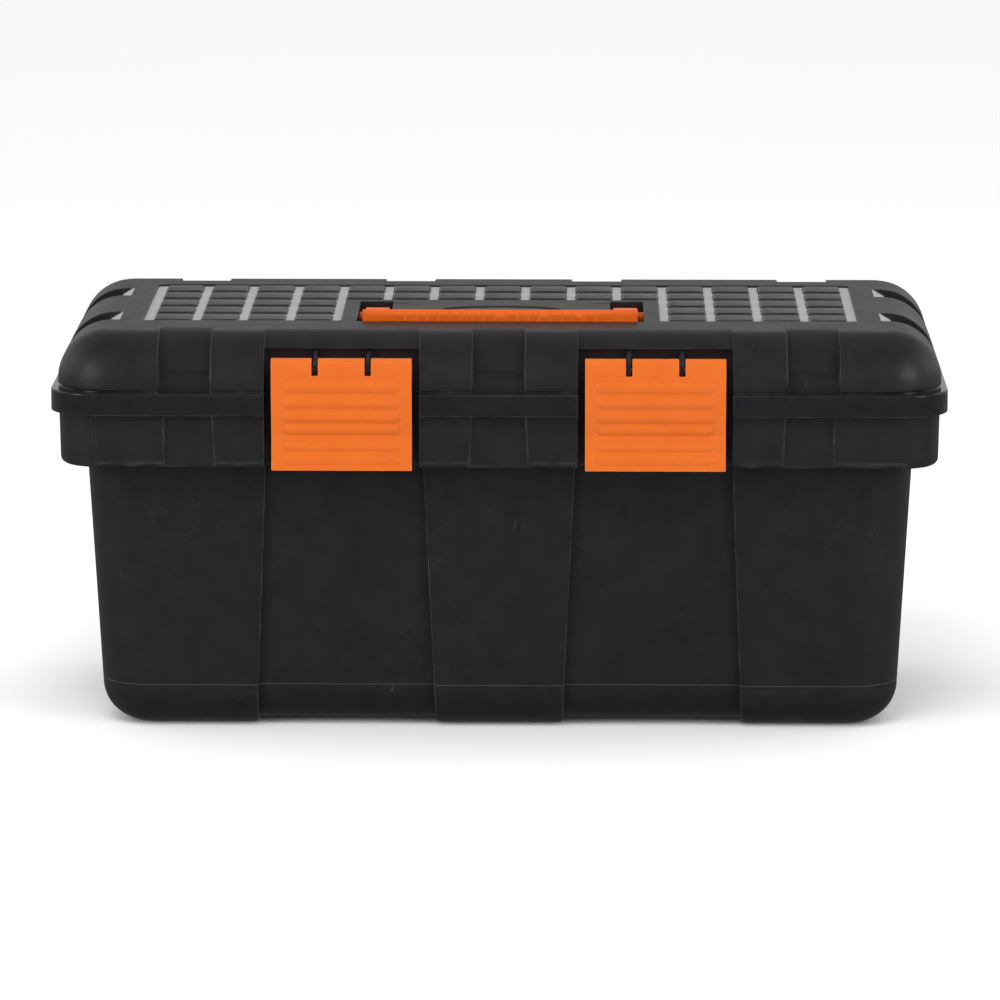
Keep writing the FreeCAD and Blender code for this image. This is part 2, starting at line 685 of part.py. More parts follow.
def finger_rib(centre, z):
    """One low rib with a rounded back and rounded ends across the latch's face."""
    line = latch_profile()
    for (y0, z0), (y1, z1) in zip(line, line[1:]):
        if z1 <= z <= z0:
            y = y0 + (y1 - y0) * (z0 - z) / (z0 - z1)
            inward = V(0, z0 - z1, y1 - y0).normalize()
    half, reach = finger_rib_height / 2, finger_rib_length / 2 - finger_rib_height / 2
    radius = (half ** 2 + finger_rib_proud ** 2) / (2 * finger_rib_proud)
    core = V(0, y, z) + inward * (radius - finger_rib_proud)
    capsule = [rod_x(radius, centre - reach, centre + reach, core.y, core.z)]
    capsule += [Part.makeSphere(radius, V(centre + s * reach, core.y, core.z)) for s in (-1, 1)]
    slice_of_it = block(centre - latch_width / 2, centre + latch_width / 2, y - 2 * finger_rib_proud,
                        y + latch_wall / 2, z - half - root, z + half + root)
    return joined(capsule).common(slice_of_it)


def make_handle():
    """Folding handle: a fluted grip, two arms and the stubs that it turns on."""
    inner = grip_half - arm_width
    top = lid_top + grip_proud
    y0 = pocket_front + grip_front_gap
    grip = profile_x([(y0 + back, top + up) for back, up in grip_line], -grip_half, grip_half)
    half, y, z = arm_height / 2, handle_axis_y, handle_axis_z
    parts = [grip] + both_sides(block(inner, grip_half, y0 + arm_setback, y, z - half, z + half))
    parts += both_sides(rod_x(half, inner, grip_half, y, z))
    parts += both_sides(rod_x(stub_radius, grip_half - root, pocket_half + wall - seat_gap, y, z))
    start = -(flute_count - 1) / 2 * flute_pitch
    y, z = y0 + flute_depth - flute_radius, top - lid_height
    flutes = [Part.makeCylinder(flute_radius, lid_height + past, V(start + k * flute_pitch, y, z))
              for k in range(flute_count)]
    return joined(parts).cut(joined(flutes))


def make_hinge_pin(centre):
    """Steel pin of one lid hinge."""
    half = hinge_length / 2 - pin_short
    return rod_x(hinge_pin_radius, centre - half, centre + half, hinge_y, hinge_z)


def make_latch_pin(centre):
    """Steel pin of one latch, held by the lid's two ribs and hidden in the latch's knuckles."""
    half = latch_width / 2 - pin_short
    return rod_x(latch_pin_radius, centre - half, centre + half, pin_y, pin_z)


# ---------------------------------------------------------------- tray
def make_tray():
    """Lift-out tray: a flanged tub with a middle spine for a grip and slots for its dividers."""
    flange_x = skirt_x - wall - band_depth - tray_flange_end_gap
    flange_half_y = zone_y - wall - tray_flange_side_gap
    t, r, c = tray_wall, tray_round, tray_corner
    outside = tapered(tray_hx, tray_hy, c, tray_floor, tray_top, tray_draft)
    outside = outside.makeFillet(r, edges_at(outside, lambda p, e: abs(p.z - tray_floor) < 0.01))
    flange = slab(flange_x, flange_half_y, tray_flange_corner, tray_top, tray_top + tray_flange)
    inside = tapered(tray_hx - t, tray_hy - t, c - t, tray_floor + t, tray_top + tray_flange, tray_draft)
    inside = inside.makeFillet(r - t, edges_at(inside, lambda p, e: abs(p.z - tray_floor - t) < 0.01))
    tray = outside.fuse(flange).cut(inside)

    z0, z1 = tray_floor + root, tray_top - guide_below_top
    foot = tray_hy - tray_draft * tray_depth          # outer face of the long walls at the floor
    reach, half = tray_hx - root, spine_wall / 2
    add = [tray, block(-reach, reach, -half, half, z0, tray_top), spine_arch()]
    offset = divider_wall / 2 + divider_gap + guide_wall / 2
    for x in (-divider_x - offset, -divider_x + offset, divider_x - offset, divider_x + offset):
        for y0, y1 in ((-foot - t, -foot + guide_reach), (-spine_wall / 2 - guide_reach, 0),
                       (0, spine_wall / 2 + guide_reach), (foot - guide_reach, foot + t)):
            add.append(block(x - guide_wall / 2, x + guide_wall / 2, y0, y1, z0, z1))
    above = block(-length, length, -depth, depth, tray_top, lid_top)
    return joined(add).common(outside.fuse(above))


def spine_arch():
    """The spine's raised part: a panel with a hand hole under a rounded grip."""
    t, top, half, r = spine_wall / 2, spine_top - spine_grip_radius, spine_half, spine_grip_radius
    z0, foot = tray_top - guide_below_top, spine_half + spine_foot
    panel = prism([V(-foot, -t, z0), V(foot, -t, z0), V(half, -t, top), V(-half, -t, top)], V(0, 2 * t, 0))
    hole = block(spine_post - half, half - spine_post, -2 * t, 2 * t, z0 - root, top - r - root)
    through = [e for e in hole.Edges if abs(e.Vertexes[0].Y - e.Vertexes[-1].Y) > root]
    hole = hole.makeFillet(hand_hole_round, through)
    straight = half - spine_grip_in
    grip = rod_x(r, -straight, straight, 0, top)
    ends = [Part.makeSphere(r, V(side * straight, 0, top)) for side in (-1, 1)]
    return joined([panel.cut(hole), grip] + ends)


def make_divider(x, side):
    """Lift-out cross divider, standing in its slots."""
    z0, z1 = tray_floor + tray_wall + divider_gap, tray_top - divider_below_top
    y_in = spine_wall / 2 + divider_gap
    clear, c = tray_wall + divider_end_gap, divider_chamfer
    y_low = tray_hy - clear - tray_draft * tray_depth
    y_high = tray_hy - clear - tray_draft * (tray_top - z1)
    points = [(y_in, z0), (y_low - c, z0), (y_low, z0 + c), (y_high, z1), (y_in, z1)]
    return profile_x([(side * y, z) for y, z in points], x - divider_wall / 2, x + divider_wall / 2)


# ---------------------------------------------------------------- every node
def main():
    os.makedirs("parts", exist_ok=True)
    save("base_tub", make_tub())
    save("lid_shell", make_lid())
    save("handle", make_handle())
    for name, side in (("left", -1), ("right", 1)):
        save("latch_" + name, make_latch(side * latch_x))
        save("latch_pin_" + name, make_latch_pin(side * latch_x))
        save("hinge_pin_" + name, make_hinge_pin(side * hinge_centre))
    save("tray", make_tray())
    for place, side in (("front", -1), ("back", 1)):
        save("divider_" + place + "_left", make_divider(-divider_x, side))
        save("divider_" + place + "_right", make_divider(divider_x, side))


main()
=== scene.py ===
"""Looks of the moulded toolbox: its shells with eased edges, its plastics, the studio and the camera.

Lengths are in metres. +X is the box's right, +Y its back, +Z up, and the box stands on z = 0.
"""

import bmesh
import bpy
import math
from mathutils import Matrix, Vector


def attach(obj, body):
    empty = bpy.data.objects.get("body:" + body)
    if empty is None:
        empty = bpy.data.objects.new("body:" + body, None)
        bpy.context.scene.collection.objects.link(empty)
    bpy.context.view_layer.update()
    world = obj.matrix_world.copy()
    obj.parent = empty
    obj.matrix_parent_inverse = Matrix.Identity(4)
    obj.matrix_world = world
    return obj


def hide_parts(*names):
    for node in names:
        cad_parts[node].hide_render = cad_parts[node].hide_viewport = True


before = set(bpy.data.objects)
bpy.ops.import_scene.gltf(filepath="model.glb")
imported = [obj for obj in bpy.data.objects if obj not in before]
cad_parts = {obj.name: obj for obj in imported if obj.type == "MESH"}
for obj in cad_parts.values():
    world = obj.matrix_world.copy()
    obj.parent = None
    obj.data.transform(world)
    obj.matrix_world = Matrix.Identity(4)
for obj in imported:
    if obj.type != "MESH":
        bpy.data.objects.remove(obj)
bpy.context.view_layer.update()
MM = 0.001

# ---------------------------------------------------------------- places on the box
LID_TOP = 227.6 * MM
EDGE_STRIP = 1.2 * MM             # faces narrower than this are part of a rounded edge
FLANGE_TOP = 196.1 * MM           # top of the lid's glossy flange
BAND_GLOSS_TOP = 208.5 * MM       # the lid's recessed bands are polished below this
BANDS = ((0, 14.5), (160, 189))   # recessed bands of the lid's front, from and to, each side of the middle
BAND_FRONT = -100 * MM            # and only in front of this
MOULD_LINE = 25.1 * MM            # witness line where the tub's bottom round starts, a ridge with a painted highlight along it

# sloped run-in of the grooves over the lid's ends: axis, from and to, each side of the middle
GROOVE_RUN_IN = ((0, 212 * MM, 222 * MM), (1, 30 * MM, 58 * MM), (2, 218 * MM, 227.4 * MM))
TREAD_PITCH = 26.4 * MM
TREAD_FOOT = 21.6 * MM            # width of a tread block where it meets the sunk floor
TREAD_SINK = 1.6 * MM
TREAD_COLUMNS = 15
TREAD_ROWS = 5
TREAD_BACK = 72.0 * MM            # back edge of the tread's last row
TREAD_GAP_X = 95.0 * MM           # the front rows leave this half width free for the handle
TREAD_GAP_Y = 18.0 * MM           # and the rows behind this line run right across

BLACK = (0.0105, 0.0098, 0.0108, 1)
DUSTY_ORANGE = (0.6, 0.3, 0.18, 1)


# ---------------------------------------------------------------- node helpers
def link(tree, source, target):
    """Joins an output socket to an input socket, or sets the input to a plain value."""
    if isinstance(source, bpy.types.NodeSocket):
        tree.links.new(source, target)
    else:
        target.default_value = source


def node_in(tree, kind, place=(0, 0), inputs=None, **settings):
    """Adds a node with its settings and its inputs, given by name or number."""
    node = tree.nodes.new(kind)
    node.location = place
    for key, value in settings.items():
        setattr(node, key, value)
    for key, value in (inputs or {}).items():
        link(tree, value, node.inputs[key])
    return node


def maths(tree, operation, a, b=0.0, c=0.0, clamp=False):
    """One arithmetic step on values or sockets."""
    step = node_in(tree, "ShaderNodeMath", inputs={0: a, 1: b, 2: c}, operation=operation, use_clamp=clamp)
    return step.outputs[0]


def ramp(tree, value, low, high, to_low=0.0, to_high=1.0, smooth=True):
    """Turns a value between low and high into one between to_low and to_high."""
    kind = "SMOOTHSTEP" if smooth else "LINEAR"
    inputs = {0: value, 1: low, 2: high, 3: to_low, 4: to_high}
    return node_in(tree, "ShaderNodeMapRange", inputs=inputs, interpolation_type=kind).outputs[0]


def noise(tree, place, scale, detail=3.0, roughness=0.55, stretch=None):
    """Noise between 0 and 1 at a number of features per metre, stretched along an axis if asked."""
    if stretch:
        place = node_in(tree, "ShaderNodeMapping", inputs={"Vector": place, "Scale": stretch}).outputs[0]
    inputs = {"Vector": place, "Scale": scale, "Detail": detail, "Roughness": roughness}
    return node_in(tree, "ShaderNodeTexNoise", inputs=inputs).outputs["Fac"]


def blended(tree, factor, first, second):
    """Mix of two colours."""
    inputs = {0: factor, 6: first, 7: second}
    return node_in(tree, "ShaderNodeMix", inputs=inputs, data_type="RGBA").outputs[2]


def group(name, inputs, outputs):
    """An empty shader node group with named sockets, given as (name, kind, default)."""
    tree = bpy.data.node_groups.new(name, "ShaderNodeTree")
    for label, kind, default in inputs:
        socket = tree.interface.new_socket(label, in_out="INPUT", socket_type="NodeSocket" + kind)
        if default is not None:
            socket.default_value = default
    for label, kind in outputs:
        tree.interface.new_socket(label, in_out="OUTPUT", socket_type="NodeSocket" + kind)
    return tree, tree.nodes.new("NodeGroupInput").outputs, tree.nodes.new("NodeGroupOutput").inputs


# ---------------------------------------------------------------- effects the plastics share
def moulded_grain():
    """Fine texture that the mould leaves: a small pebbled grain over a slow waviness from shrinkage."""
    tree, given, out = group("moulded grain",
                             [("Place", "Vector", None), ("Grain Size", "Float", 0.0006),
                              ("Grain Depth", "Float", 1.0), ("Waviness", "Float", 0.3)],
                             [("Height", "Float"), ("Roughness Shift", "Float"), ("Mottle", "Float")])
    per_metre = maths(tree, "DIVIDE", 1.0, given["Grain Size"])
    pebbles = noise(tree, given["Place"], per_metre, 2.0, 0.6)
    slow = noise(tree, given["Place"], 22.0, 2.0, 0.5)
    patches = noise(tree, given["Place"], 70.0, 4.0, 0.6)
    deep = maths(tree, "MULTIPLY", pebbles, given["Grain Depth"])
    wavy = maths(tree, "MULTIPLY", maths(tree, "MULTIPLY", slow, 12.0), given["Waviness"])
    link(tree, maths(tree, "ADD", deep, wavy), out["Height"])
    link(tree, maths(tree, "MULTIPLY", maths(tree, "SUBTRACT", patches, 0.5), 0.16), out["Roughness Shift"])
    link(tree, ramp(tree, patches, 0.3, 0.7), out["Mottle"])
    return tree


def worn_edges_and_highlight():
    """Mask of the moulding's corners, where they are rubbed smooth and where a painted highlight makes them
    paler.
    """
    tree, given, out = group("worn edges and painted highlight",
                             [("Place", "Vector", None), ("Edge", "Float", 0.0), ("Amount", "Float", 0.6)],
                             [("Mask", "Float")])
    patches = ramp(tree, noise(tree, given["Place"], 60.0, 4.0, 0.65), 0.35, 0.7)
    rubbed = maths(tree, "MULTIPLY", given["Edge"], ramp(tree, patches, 0.0, 1.0, 0.25, 1.0))
    link(tree, maths(tree, "MULTIPLY", rubbed, given["Amount"], clamp=True), out["Mask"])
    return tree


def handling_marks():
    """Hair-fine scratches in a few directions and broad soft smudges."""
    tree, given, out = group("handling marks",
                             [("Place", "Vector", None), ("Scratches", "Float", 0.5),
                              ("Smudges", "Float", 0.5)],
                             [("Scratch", "Float"), ("Smudge", "Float")])
    total = 0.0
    for turn, size in ((0.5, 9.0), (-0.85, 7.0), (1.9, 11.0)):
        turned = node_in(tree, "ShaderNodeMapping",
                         inputs={"Vector": given["Place"], "Rotation": (turn, turn * 0.7, turn)}).outputs[0]
        lines = noise(tree, turned, size, 1.0, 0.3, stretch=(1.0, 60.0, 1.0))
        from_middle = maths(tree, "ABSOLUTE", maths(tree, "SUBTRACT", lines, 0.5))
        thin = ramp(tree, from_middle, 0.0, 0.004, 1.0, 0.0)
        sparse = ramp(tree, noise(tree, turned, 16.0 + size, 2.0, 0.5), 0.62, 0.7)
        total = maths(tree, "MAXIMUM", maths(tree, "MULTIPLY", thin, sparse), total)
    link(tree, maths(tree, "MULTIPLY", total, given["Scratches"]), out["Scratch"])
    soft = ramp(tree, noise(tree, given["Place"], 13.0, 4.0, 0.6), 0.45, 0.72)
    link(tree, maths(tree, "MULTIPLY", soft, given["Smudges"]), out["Smudge"])
    return tree


def settled_dust():
    """Fine dust that gathers on the upward-facing places of a piece."""
    tree, given, out = group("settled dust",
                             [("Place", "Vector", None), ("Facing", "Vector", None),
                              ("Amount", "Float", 0.3)],
                             [("Mask", "Float")])
    up = node_in(tree, "ShaderNodeSeparateXYZ", inputs={0: given["Facing"]}).outputs["Z"]
    level = ramp(tree, up, 0.55, 0.98)
    specks = ramp(tree, noise(tree, given["Place"], 900.0, 2.0, 0.7), 0.52, 0.75)
    drifts = ramp(tree, noise(tree, given["Place"], 30.0, 4.0, 0.6), 0.35, 0.75)
    film = maths(tree, "MULTIPLY_ADD", specks, 0.6, maths(tree, "MULTIPLY", drifts, 0.4))
    link(tree, maths(tree, "MULTIPLY", maths(tree, "MULTIPLY", film, level), given["Amount"], clamp=True),
         out["Mask"])
    return tree


GRAIN, EDGE_WEAR_AND_HIGHLIGHT, MARKS, DUST = moulded_grain(), worn_edges_and_highlight(), handling_marks(), settled_dust()


def use(tree, effect, **inputs):
    """Places a shared effect in a material with its own values."""
    node = node_in(tree, "ShaderNodeGroup", node_tree=effect)
    for key, value in inputs.items():
        link(tree, value, node.inputs[key.replace("_", " ")])
    return node.outputs


# ---------------------------------------------------------------- finishes
class Finish:
    """One material being made: its tree, its shader and the surface's own coordinates."""

    def __init__(self, name, coat=0.0, specular=0.5, ior=1.49):
        self.material = bpy.data.materials.new(name)
        self.material.use_nodes = True
        self.tree = self.material.node_tree
        self.shader = self.tree.nodes["Principled BSDF"]
        self.shader.inputs["IOR"].default_value = ior
        self.shader.inputs["Specular IOR Level"].default_value = specular
        self.shader.inputs["Coat Weight"].default_value = coat
        coordinates = node_in(self.tree, "ShaderNodeTexCoord", (-1400, 0))
        self.place, self.facing = coordinates.outputs["Object"], coordinates.outputs["Normal"]
        split = node_in(self.tree, "ShaderNodeSeparateXYZ", inputs={0: self.place})
        self.x, self.y, self.z = split.outputs
        self.edge = node_in(self.tree, "ShaderNodeAttribute", attribute_name="edge").outputs["Fac"]

    def maths(self, operation, a, b=0.0, c=0.0, clamp=False):
        return maths(self.tree, operation, a, b, c, clamp)

    def between(self, value, low, high, soft):
        """1 where a value lies between low and high, with soft edges."""
        rise = ramp(self.tree, value, low - soft, low + soft)
        fall = ramp(self.tree, value, high - soft, high + soft, 1.0, 0.0)
        return self.maths("MULTIPLY", rise, fall)

    def finish(self, colour, roughness, height, strength, distance):
        """Joins the surface's colour, roughness and relief to the shader."""
        link(self.tree, colour, self.shader.inputs["Base Color"])
        link(self.tree, roughness, self.shader.inputs["Roughness"])
        bump = node_in(self.tree, "ShaderNodeBump",
                       inputs={"Height": height, "Strength": strength, "Distance": distance})
        link(self.tree, bump.outputs[0], self.shader.inputs["Normal"])
        return self.material


def moulded_plastic(name, colour, pale, grain_size, grain_depth, matte, gloss=None, line=None, dust=0.25,
                    dust_colour=(0.16, 0.155, 0.15, 1), edge_highlight_colour=(0.07, 0.07, 0.072, 1), scratches=0.35,
                    edge_wear_and_highlight=0.5, specular=0.5, strength=0.25, wave=0.25):
    """A moulded plastic: colour and grain, rubbed edges with a painted highlight on them, marks, dust and,
    where asked, polished places and a ridge line with a painted highlight.
    """
    made = Finish(name, specular=specular)
    tree = made.tree
    grain = use(tree, GRAIN, Place=made.place, Grain_Size=grain_size, Grain_Depth=grain_depth,
                Waviness=wave)
    edges = use(tree, EDGE_WEAR_AND_HIGHLIGHT, Place=made.place, Edge=made.edge, Amount=edge_wear_and_highlight)["Mask"]
    marks = use(tree, MARKS, Place=made.place, Scratches=scratches, Smudges=0.5)
    film = use(tree, DUST, Place=made.place, Facing=made.facing, Amount=dust)["Mask"]

    base = blended(tree, maths(tree, "MULTIPLY", grain["Mottle"], 0.35), colour, pale)
    # painted highlight: the corners' mask pales the colour towards the edge colour, in place of light caught
    # on the edges
    base = blended(tree, edges, base, edge_highlight_colour)
    base = blended(tree, maths(tree, "MULTIPLY", marks["Scratch"], 0.5), base, dust_colour)
    base = blended(tree, film, base, dust_colour)

    rough = maths(tree, "ADD", matte, grain["Roughness Shift"])
    rough = maths(tree, "MULTIPLY_ADD", edges, -0.12, rough)
    rough = maths(tree, "MULTIPLY_ADD", marks["Smudge"], -0.05, rough)
    rough = maths(tree, "MULTIPLY_ADD", film, 0.25, rough)
    height = grain["Height"]
    if gloss:
        mask = gloss(made)
        keep = maths(tree, "SUBTRACT", 1.0, mask)
        polished = maths(tree, "MULTIPLY_ADD", marks["Smudge"], 0.08, 0.16)
        grained = maths(tree, "MULTIPLY", rough, keep)
        rough = maths(tree, "ADD", grained, maths(tree, "MULTIPLY", polished, mask))
        height = maths(tree, "MULTIPLY", height, maths(tree, "MULTIPLY_ADD", mask, -0.9, 1.0))
    height = maths(tree, "MULTIPLY_ADD", marks["Scratch"], -1.0, height)
    if line:
        witness = line(made)
        height = maths(tree, "MULTIPLY_ADD", witness, 4.0, height)
        # painted highlight: the witness line is paled towards the dust colour
        base = blended(tree, maths(tree, "MULTIPLY", witness, 0.35), base, dust_colour)
    return made.finish(base, maths(tree, "MAXIMUM", rough, 0.08), height, strength, 0.0002)


def lid_polish(made):
    """The lid's flange and the feet of its recessed bands are polished."""
    flange = ramp(made.tree, made.z, FLANGE_TOP + 0.2 * MM, FLANGE_TOP + 1.2 * MM, 1.0, 0.0)
    aside = made.maths("ABSOLUTE", made.x)
    bands = 0.0
    for low, high in BANDS:
        bands = made.maths("MAXIMUM", made.between(aside, (low - 1) * MM, high * MM, 0.3 * MM), bands)
    foot = ramp(made.tree, made.z, BAND_GLOSS_TOP - 0.4 * MM, BAND_GLOSS_TOP + 0.4 * MM, 1.0, 0.0)
    front = ramp(made.tree, made.y, BAND_FRONT - 5 * MM, BAND_FRONT, 1.0, 0.0)
    polished = made.maths("MULTIPLY", made.maths("MULTIPLY", bands, foot), front)
    return made.maths("MAXIMUM", flange, polished)


def tub_line_painted_highlight(made):
    """The fine witness line round the tub where its bottom round starts: a ridge in the bump and a pale
    painted highlight along it.
    """
    return made.between(made.z, MOULD_LINE - 0.15 * MM, MOULD_LINE + 0.15 * MM, 0.15 * MM)


def wire_steel(name):
    """Drawn steel wire: fine lines along it, a few dull spots."""
    made = Finish(name)
    tree = made.tree
    made.shader.inputs["Metallic"].default_value = 1.0
    lines = noise(tree, made.place, 2500.0, 2.0, 0.6, stretch=(0.02, 1.0, 1.0))
    spots = ramp(tree, noise(tree, made.place, 300.0, 4.0, 0.6), 0.5, 0.75)
    colour = blended(tree, lines, (0.42, 0.42, 0.43, 1), (0.62, 0.61, 0.6, 1))
    colour = blended(tree, maths(tree, "MULTIPLY", spots, 0.5), colour, (0.2, 0.17, 0.15, 1))
    rough = maths(tree, "MULTIPLY_ADD", spots, 0.25, ramp(tree, lines, 0.2, 0.8, 0.22, 0.38))
    return made.finish(colour, rough, lines, 0.2, 0.00005)


def floor_white(name):
    """Plain pale floor of the studio."""
    made = Finish(name, specular=0.2)
    cloud = noise(made.tree, made.place, 1.5, 2.0, 0.5)
    colour = blended(made.tree, cloud, (0.93, 0.93, 0.93, 1), (0.95, 0.95, 0.95, 1))
    return made.finish(colour, 0.8, cloud, 0.0, 0.001)


tub_plastic = moulded_plastic("tub plastic", BLACK, (0.017, 0.016, 0.0172, 1), 0.0007, 0.8,
                              0.46, line=tub_line_painted_highlight, dust=0.03)
lid_plastic = moulded_plastic("lid plastic", BLACK, (0.018, 0.017, 0.018, 1), 0.0007, 0.8,
                              0.46, gloss=lid_polish, dust=0.04)
# painted sheen: the sunk floor's pale grey stands in for the grazing reflection off its rough, sparked
# surface
tread_floor_painted_sheen = moulded_plastic("tread floor painted sheen", (0.34, 0.34, 0.335, 1), (0.42, 0.42, 0.415, 1),
                              0.0012, 3.0, 0.8, dust=0.5, dust_colour=(0.3, 0.3, 0.29, 1), edge_wear_and_highlight=0.1,
                              strength=0.6)
tread_plastic = moulded_plastic("tread block plastic", (0.012, 0.0115, 0.0122, 1), (0.026, 0.025, 0.026, 1),
                                0.0008, 1.0, 0.42, dust=0.05, edge_wear_and_highlight=0.7)
latch_plastic = moulded_plastic("latch plastic", (0.58, 0.108, 0.006, 1), (0.64, 0.132, 0.01, 1),
                                0.0009, 0.7, 0.45,
                                # the latch's paler orange edge colour is a painted highlight along its edges
                                dust=0.04, dust_colour=DUSTY_ORANGE, edge_highlight_colour=(0.75, 0.2, 0.05, 1),
                                scratches=0.2, specular=0.25)
handle_plastic = moulded_plastic("handle plastic", (0.68, 0.108, 0.006, 1), (0.74, 0.135, 0.01, 1),
                                 0.0009, 0.6, 0.4,
                                 # the handle's paler orange edge colour is a painted highlight along its
                                 # edges
                                 dust=0.05, dust_colour=DUSTY_ORANGE, edge_highlight_colour=(0.7, 0.18, 0.045, 1),
                                 scratches=0.25, specular=0.3)
tray_plastic = moulded_plastic("tray plastic", (0.03, 0.03, 0.032, 1), (0.045, 0.044, 0.045, 1),
                               0.0009, 1.0, 0.5,
                               dust=0.2)
pin_steel = wire_steel("pin steel")


# ---------------------------------------------------------------- meshes
def merged(node, dissolve):
    """A copy of a CAD node's mesh with its triangles joined up and flat faces made whole."""
    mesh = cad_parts[node].data.copy()
    if "custom_normal" in mesh.attributes:
        mesh.attributes.remove(mesh.attributes["custom_normal"])
    work = bmesh.new()
    work.from_mesh(mesh)
    bmesh.ops.remove_doubles(work, verts=work.verts, dist=2e-6)
    bmesh.ops.dissolve_limit(work, angle_limit=math.radians(dissolve), verts=work.verts, edges=work.edges)
    return mesh, work


def mark_edges(mesh):
    """Writes the attribute "edge": 1 on the narrow strips of outward corners, 0 elsewhere."""
    work = bmesh.new()
    work.from_mesh(mesh)
    values = [0.0] * len(work.verts)
    for edge in work.edges:
        if len(edge.link_faces) == 2:
            bend = math.degrees(edge.calc_face_angle_signed(0.0))
            amount = min(1.0, max(0.0, (bend - 9.0) / 16.0))
            for corner in edge.verts:
                values[corner.index] = max(values[corner.index], amount)
    found = []
    for face in work.faces:
        longest = max(edge.calc_length() for edge in face.edges)
        narrow = face.calc_area() < EDGE_STRIP * longest
        found += [values[corner.index] if narrow else 0.0 for corner in face.verts]
    work.free()
    layer = mesh.attributes.new("edge", "FLOAT", "CORNER")
    layer.data.foreach_set("value", found)


def plain_mesh(piece):
    """Turns a piece and its modifiers into one plain mesh."""
    made = bpy.data.meshes.new_from_object(piece.evaluated_get(bpy.context.evaluated_depsgraph_get()))
    piece.modifiers.clear()
    piece.data = made
    return made


def eased(node, name, body, width, materials, dissolve=0.4, sharp=32, change=None):
    """A copy of a CAD node with its sharp edges rounded over, which stands for the node."""
    mesh, work = merged(node, dissolve)
    mesh.materials.clear()
    for material in materials:
        mesh.materials.append(material)
    for face in work.faces:
        face.smooth = True
        face.material_index = 0
    if change:
        change(work)
    work.to_mesh(mesh)
    work.free()
    piece = bpy.data.objects.new(name, mesh)
    bpy.context.scene.collection.objects.link(piece)
    bevel = piece.modifiers.new("eased edges", "BEVEL")
    bevel.width = width
    bevel.segments = 3
    bevel.limit_method = "ANGLE"
    bevel.angle_limit = math.radians(sharp)
    bevel.use_clamp_overlap = False
    normals = piece.modifiers.new("normals", "WEIGHTED_NORMAL")
    normals.keep_sharp = False
    mark_edges(plain_mesh(piece))
    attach(piece, body)
    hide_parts(node)
    return piece


def tread_columns_and_rows():
    """Middle of every tread block, in the order of the columns."""
    found = []
    for column in range(TREAD_COLUMNS):
        for row in range(TREAD_ROWS):
            x = (column - (TREAD_COLUMNS - 1) / 2) * TREAD_PITCH
            y = TREAD_BACK - (row + 0.5) * TREAD_PITCH
            if abs(x) > TREAD_GAP_X or y > TREAD_GAP_Y:
                found.append((x, y))
    return found


def clear_treads(work):
    """Takes the tread blocks off the lid, closes its sunk floor and gives the floor and the grooves' upward
    run-in the pale finish, whose grey is painted sheen.
    """
    floor, half = LID_TOP - TREAD_SINK, TREAD_FOOT / 2 + 0.1 * MM
    centres = tread_columns_and_rows()
    blocks = []
    for face in work.faces:
        middle = face.calc_center_median()
        if middle.z > floor + 0.05 * MM:
            if any(abs(middle.x - x) < half and abs(middle.y - y) < half for x, y in centres):
                blocks.append(face)
    bmesh.ops.delete(work, geom=blocks, context="FACES")
    rim = [edge for edge in work.edges if edge.is_boundary]
    bmesh.ops.holes_fill(work, edges=rim, sides=0)
    for face in work.faces:
        face.smooth = True
        middle = face.calc_center_median()
        run_in = all(low <= abs(middle[axis]) <= high for axis, low, high in GROOVE_RUN_IN)
        sunk = all(abs(corner.co.z - floor) < 0.02 * MM for corner in face.verts)
        # the sunk floor and the grooves' upward run-in take the pale finish, whose grey is painted sheen
        if sunk or (run_in and face.normal.z > 0.75):
            face.material_index = 1


